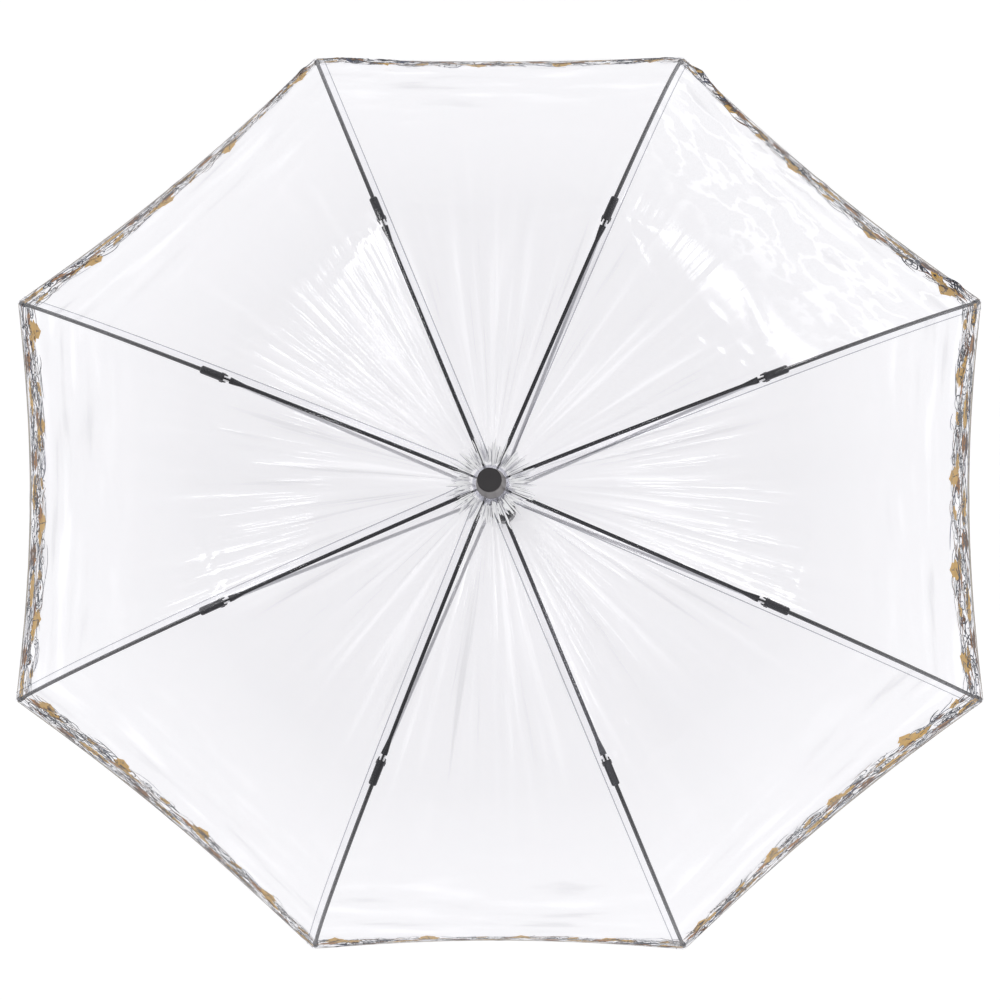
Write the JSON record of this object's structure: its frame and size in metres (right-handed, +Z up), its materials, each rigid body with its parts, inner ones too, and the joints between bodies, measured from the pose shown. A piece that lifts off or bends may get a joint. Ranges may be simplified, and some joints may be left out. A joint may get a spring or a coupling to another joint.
{
  "type": "clear dome umbrella",
  "caption": "Open clear dome umbrella: film canopy on folding ribs, sliding runner, sprung catches, straight grip and tapered ferrule.",
  "frame": {"origin": "middle of the hand grip, on the shaft's axis", "axes": "+Z up the shaft towards the ferrule, +X across the wider way of the rim, between two ribs"},
  "size_m": [0.7796, 0.7254, 0.7648],
  "materials": {
    "shaft": "satin",
    "bright_steel": "satin",
    "grip": "fine matt",
    "hub": "translucent",
    "washer": "translucent",
    "ferrule": "gunmetal plated",
    "cap": "matt",
    "rib": "plated",
    "joiner": "gunmetal",
    "rod": "semi-gloss",
    "film": "clear, glossy"
  },
  "bodies": {
    "root": {"shaft_tube": "shaft", "catch_pins": "bright_steel", "handle_grip": "grip", "crown_notch": "hub", "crown_wire": "bright_steel", "crown_washer": "washer", "ferrule": "ferrule", "ferrule_cap": "cap"},
    "top_catch": {"top_catch": "bright_steel"},
    "bottom_catch": {"bottom_catch": "bright_steel"},
    "runner": {"runner": "hub", "runner_wire": "bright_steel"},
    "rib_1": {"inner_rib_1": "rib", "canopy_gore_1": "film"},
    "rod_1": {"rib_joiner_1": "joiner", "outer_rod_1": "rod"},
    "rod_end_1": {"rod_end_1": "rod"},
    "stretcher_1": {"stretcher_1": "rib"},
    "rib_2": {"inner_rib_2": "rib", "canopy_gore_2": "film"},
    "rod_2": {"rib_joiner_2": "joiner", "outer_rod_2": "rod"},
    "rod_end_2": {"rod_end_2": "rod"},
    "stretcher_2": {"stretcher_2": "rib"},
    "rib_3": {"inner_rib_3": "rib", "canopy_gore_3": "film"},
    "rod_3": {"rib_joiner_3": "joiner", "outer_rod_3": "rod"},
    "rod_end_3": {"rod_end_3": "rod"},
    "stretcher_3": {"stretcher_3": "rib"},
    "rib_4": {"inner_rib_4": "rib", "canopy_gore_4": "film"},
    "rod_4": {"rib_joiner_4": "joiner", "outer_rod_4": "rod"},
    "rod_end_4": {"rod_end_4": "rod"},
    "stretcher_4": {"stretcher_4": "rib"},
    "rib_5": {"inner_rib_5": "rib", "canopy_gore_5": "film"},
    "rod_5": {"rib_joiner_5": "joiner", "outer_rod_5": "rod"},
    "rod_end_5": {"rod_end_5": "rod"},
    "stretcher_5": {"stretcher_5": "rib"},
    "rib_6": {"inner_rib_6": "rib", "canopy_gore_6": "film"},
    "rod_6": {"rib_joiner_6": "joiner", "outer_rod_6": "rod"},
    "rod_end_6": {"rod_end_6": "rod"},
    "stretcher_6": {"stretcher_6": "rib"},
    "rib_7": {"inner_rib_7": "rib", "canopy_gore_7": "film"},
    "rod_7": {"rib_joiner_7": "joiner", "outer_rod_7": "rod"},
    "rod_end_7": {"rod_end_7": "rod"},
    "stretcher_7": {"stretcher_7": "rib"},
    "rib_8": {"inner_rib_8": "rib", "canopy_gore_8": "film"},
    "rod_8": {"rib_joiner_8": "joiner", "outer_rod_8": "rod"},
    "rod_end_8": {"rod_end_8": "rod"},
    "stretcher_8": {"stretcher_8": "rib"}
  },
  "joints": [
    {"name": "top_catch_press", "type": "hinge", "parent": "root", "child": "top_catch", "pos_m": [0, 0, 0.3537], "axis": [0, -1, 0], "range_deg": [0, 11], "stiffness_Nm_per_rad": 0.5, "springref_deg": -5.73},
    {"name": "bottom_catch_press", "type": "hinge", "parent": "root", "child": "bottom_catch", "pos_m": [0, 0, 0.12015], "axis": [0, -1, 0], "range_deg": [0, 11], "stiffness_Nm_per_rad": 0.5, "springref_deg": -5.73},
    {"name": "rib_1_fold", "type": "hinge", "parent": "root", "child": "rib_1", "pos_m": [0.00924, 0.00383, 0.634], "axis": [-0.3827, 0.9239, 0], "range_deg": [0, 57.5], "deforming": ["canopy_gore_1", "canopy_gore_2", "canopy_gore_3", "canopy_gore_4", "canopy_gore_5", "canopy_gore_6", "canopy_gore_7", "canopy_gore_8", "top_catch", "bottom_catch"]},
    {"name": "stretcher_1_fold", "type": "hinge", "parent": "rib_1", "child": "stretcher_1", "pos_m": [0.19646, 0.08138, 0.517], "axis": [-0.3827, 0.9239, 0], "range_deg": [-115, 0]},
    {"name": "rod_1_flex", "type": "hinge", "parent": "rib_1", "child": "rod_1", "pos_m": [0.19646, 0.08138, 0.517], "axis": [-0.3827, 0.9239, 0], "range_deg": [-11.25, 0]},
    {"name": "rod_end_1_flex", "type": "hinge", "parent": "rod_1", "child": "rod_end_1", "pos_m": [0.30646, 0.12694, 0.40386], "axis": [-0.3827, 0.9239, 0], "range_deg": [-14, 0]},
    {"name": "rib_2_fold", "type": "hinge", "parent": "root", "child": "rib_2", "pos_m": [0.00383, 0.00924, 0.634], "axis": [-0.9239, 0.3827, 0], "range_deg": [0, 57.5]},
    {"name": "stretcher_2_fold", "type": "hinge", "parent": "rib_2", "child": "stretcher_2", "pos_m": [0.08138, 0.19646, 0.517], "axis": [-0.9239, 0.3827, 0], "range_deg": [-115, 0]},
    {"name": "rod_2_flex", "type": "hinge", "parent": "rib_2", "child": "rod_2", "pos_m": [0.08138, 0.19646, 0.517], "axis": [-0.9239, 0.3827, 0], "range_deg": [-14.25, 0]},
    {"name": "rod_end_2_flex", "type": "hinge", "parent": "rod_2", "child": "rod_end_2", "pos_m": [0.12445, 0.30046, 0.39821], "axis": [-0.9239, 0.3827, 0], "range_deg": [-20, 0]},
    {"name": "rib_3_fold", "type": "hinge", "parent": "root", "child": "rib_3", "pos_m": [-0.00383, 0.00924, 0.634], "axis": [-0.9239, -0.3827, 0], "range_deg": [0, 57.5]},
    {"name": "stretcher_3_fold", "type": "hinge", "parent": "rib_3", "child": "stretcher_3", "pos_m": [-0.08138, 0.19646, 0.517], "axis": [-0.9239, -0.3827, 0], "range_deg": [-115, 0]},
    {"name": "rod_3_flex", "type": "hinge", "parent": "rib_3", "child": "rod_3", "pos_m": [-0.08138, 0.19646, 0.517], "axis": [-0.9239, -0.3827, 0], "range_deg": [-14.25, 0]},
    {"name": "rod_end_3_flex", "type": "hinge", "parent": "rod_3", "child": "rod_end_3", "pos_m": [-0.12445, 0.30046, 0.39821], "axis": [-0.9239, -0.3827, 0], "range_deg": [-20, 0]},
    {"name": "rib_4_fold", "type": "hinge", "parent": "root", "child": "rib_4", "pos_m": [-0.00924, 0.00383, 0.634], "axis": [-0.3827, -0.9239, 0], "range_deg": [0, 57.5]},
    {"name": "stretcher_4_fold", "type": "hinge", "parent": "rib_4", "child": "stretcher_4", "pos_m": [-0.19646, 0.08138, 0.517], "axis": [-0.3827, -0.9239, 0], "range_deg": [-115, 0]},
    {"name": "rod_4_flex", "type": "hinge", "parent": "rib_4", "child": "rod_4", "pos_m": [-0.19646, 0.08138, 0.517], "axis": [-0.3827, -0.9239, 0], "range_deg": [-11.25, 0]},
    {"name": "rod_end_4_flex", "type": "hinge", "parent": "rod_4", "child": "rod_end_4", "pos_m": [-0.30646, 0.12694, 0.40386], "axis": [-0.3827, -0.9239, 0], "range_deg": [-14, 0]},
    {"name": "rib_5_fold", "type": "hinge", "parent": "root", "child": "rib_5", "pos_m": [-0.00924, -0.00383, 0.634], "axis": [0.3827, -0.9239, 0], "range_deg": [0, 57.5]},
    {"name": "stretcher_5_fold", "type": "hinge", "parent": "rib_5", "child": "stretcher_5", "pos_m": [-0.19646, -0.08138, 0.517], "axis": [0.3827, -0.9239, 0], "range_deg": [-115, 0]},
    {"name": "rod_5_flex", "type": "hinge", "parent": "rib_5", "child": "rod_5", "pos_m": [-0.19646, -0.08138, 0.517], "axis": [0.3827, -0.9239, 0], "range_deg": [-11.25, 0]},
    {"name": "rod_end_5_flex", "type": "hinge", "parent": "rod_5", "child": "rod_end_5", "pos_m": [-0.30646, -0.12694, 0.40386], "axis": [0.3827, -0.9239, 0], "range_deg": [-14, 0]},
    {"name": "rib_6_fold", "type": "hinge", "parent": "root", "child": "rib_6", "pos_m": [-0.00383, -0.00924, 0.634], "axis": [0.9239, -0.3827, 0], "range_deg": [0, 57.5]},
    {"name": "stretcher_6_fold", "type": "hinge", "parent": "rib_6", "child": "stretcher_6", "pos_m": [-0.08138, -0.19646, 0.517], "axis": [0.9239, -0.3827, 0], "range_deg": [-115, 0]},
    {"name": "rod_6_flex", "type": "hinge", "parent": "rib_6", "child": "rod_6", "pos_m": [-0.08138, -0.19646, 0.517], "axis": [0.9239, -0.3827, 0], "range_deg": [-14.25, 0]},
    {"name": "rod_end_6_flex", "type": "hinge", "parent": "rod_6", "child": "rod_end_6", "pos_m": [-0.12445, -0.30046, 0.39821], "axis": [0.9239, -0.3827, 0], "range_deg": [-20, 0]},
    {"name": "rib_7_fold", "type": "hinge", "parent": "root", "child": "rib_7", "pos_m": [0.00383, -0.00924, 0.634], "axis": [0.9239, 0.3827, 0], "range_deg": [0, 57.5]},
    {"name": "stretcher_7_fold", "type": "hinge", "parent": "rib_7", "child": "stretcher_7", "pos_m": [0.08138, -0.19646, 0.517], "axis": [0.9239, 0.3827, 0], "range_deg": [-115, 0]},
    {"name": "rod_7_flex", "type": "hinge", "parent": "rib_7", "child": "rod_7", "pos_m": [0.08138, -0.19646, 0.517], "axis": [0.9239, 0.3827, 0], "range_deg": [-14.25, 0]},
    {"name": "rod_end_7_flex", "type": "hinge", "parent": "rod_7", "child": "rod_end_7", "pos_m": [0.12445, -0.30046, 0.39821], "axis": [0.9239, 0.3827, 0], "range_deg": [-20, 0]},
    {"name": "rib_8_fold", "type": "hinge", "parent": "root", "child": "rib_8", "pos_m": [0.00924, -0.00383, 0.634], "axis": [0.3827, 0.9239, 0], "range_deg": [0, 57.5]},
    {"name": "stretcher_8_fold", "type": "hinge", "parent": "rib_8", "child": "stretcher_8", "pos_m": [0.19646, -0.08138, 0.517], "axis": [0.3827, 0.9239, 0], "range_deg": [-115, 0]},
    {"name": "rod_8_flex", "type": "hinge", "parent": "rib_8", "child": "rod_8", "pos_m": [0.19646, -0.08138, 0.517], "axis": [0.3827, 0.9239, 0], "range_deg": [-11.25, 0]},
    {"name": "rod_end_8_flex", "type": "hinge", "parent": "rod_8", "child": "rod_end_8", "pos_m": [0.30646, -0.12694, 0.40386], "axis": [0.3827, 0.9239, 0], "range_deg": [-14, 0]},
    {"name": "runner_travel", "type": "hinge", "parent": "stretcher_1", "child": "runner", "pos_m": [0.00924, 0.00383, 0.4], "axis": [-0.3827, 0.9239, 0], "range_deg": [0, 57.5]}
  ],
  "couplings": [
    {"joint": "stretcher_1_fold", "follows": "rib_1_fold", "ratio": -2},
    {"joint": "rod_1_flex", "follows": "rib_1_fold", "ratio": -0.19565},
    {"joint": "rod_end_1_flex", "follows": "rib_1_fold", "ratio": -0.24348},
    {"joint": "rib_2_fold", "follows": "rib_1_fold", "ratio": 1},
    {"joint": "stretcher_2_fold", "follows": "rib_1_fold", "ratio": -2},
    {"joint": "rod_2_flex", "follows": "rib_1_fold", "ratio": -0.24783},
    {"joint": "rod_end_2_flex", "follows": "rib_1_fold", "ratio": -0.34783},
    {"joint": "rib_3_fold", "follows": "rib_1_fold", "ratio": 1},
    {"joint": "stretcher_3_fold", "follows": "rib_1_fold", "ratio": -2},
    {"joint": "rod_3_flex", "follows": "rib_1_fold", "ratio": -0.24783},
    {"joint": "rod_end_3_flex", "follows": "rib_1_fold", "ratio": -0.34783},
    {"joint": "rib_4_fold", "follows": "rib_1_fold", "ratio": 1},
    {"joint": "stretcher_4_fold", "follows": "rib_1_fold", "ratio": -2},
    {"joint": "rod_4_flex", "follows": "rib_1_fold", "ratio": -0.19565},
    {"joint": "rod_end_4_flex", "follows": "rib_1_fold", "ratio": -0.24348},
    {"joint": "rib_5_fold", "follows": "rib_1_fold", "ratio": 1},
    {"joint": "stretcher_5_fold", "follows": "rib_1_fold", "ratio": -2},
    {"joint": "rod_5_flex", "follows": "rib_1_fold", "ratio": -0.19565},
    {"joint": "rod_end_5_flex", "follows": "rib_1_fold", "ratio": -0.24348},
    {"joint": "rib_6_fold", "follows": "rib_1_fold", "ratio": 1},
    {"joint": "stretcher_6_fold", "follows": "rib_1_fold", "ratio": -2},
    {"joint": "rod_6_flex", "follows": "rib_1_fold", "ratio": -0.24783},
    {"joint": "rod_end_6_flex", "follows": "rib_1_fold", "ratio": -0.34783},
    {"joint": "rib_7_fold", "follows": "rib_1_fold", "ratio": 1},
    {"joint": "stretcher_7_fold", "follows": "rib_1_fold", "ratio": -2},
    {"joint": "rod_7_flex", "follows": "rib_1_fold", "ratio": -0.24783},
    {"joint": "rod_end_7_flex", "follows": "rib_1_fold", "ratio": -0.34783},
    {"joint": "rib_8_fold", "follows": "rib_1_fold", "ratio": 1},
    {"joint": "stretcher_8_fold", "follows": "rib_1_fold", "ratio": -2},
    {"joint": "rod_8_flex", "follows": "rib_1_fold", "ratio": -0.19565},
    {"joint": "rod_end_8_flex", "follows": "rib_1_fold", "ratio": -0.24348},
    {"joint": "runner_travel", "follows": "rib_1_fold", "ratio": 1}
  ]
}
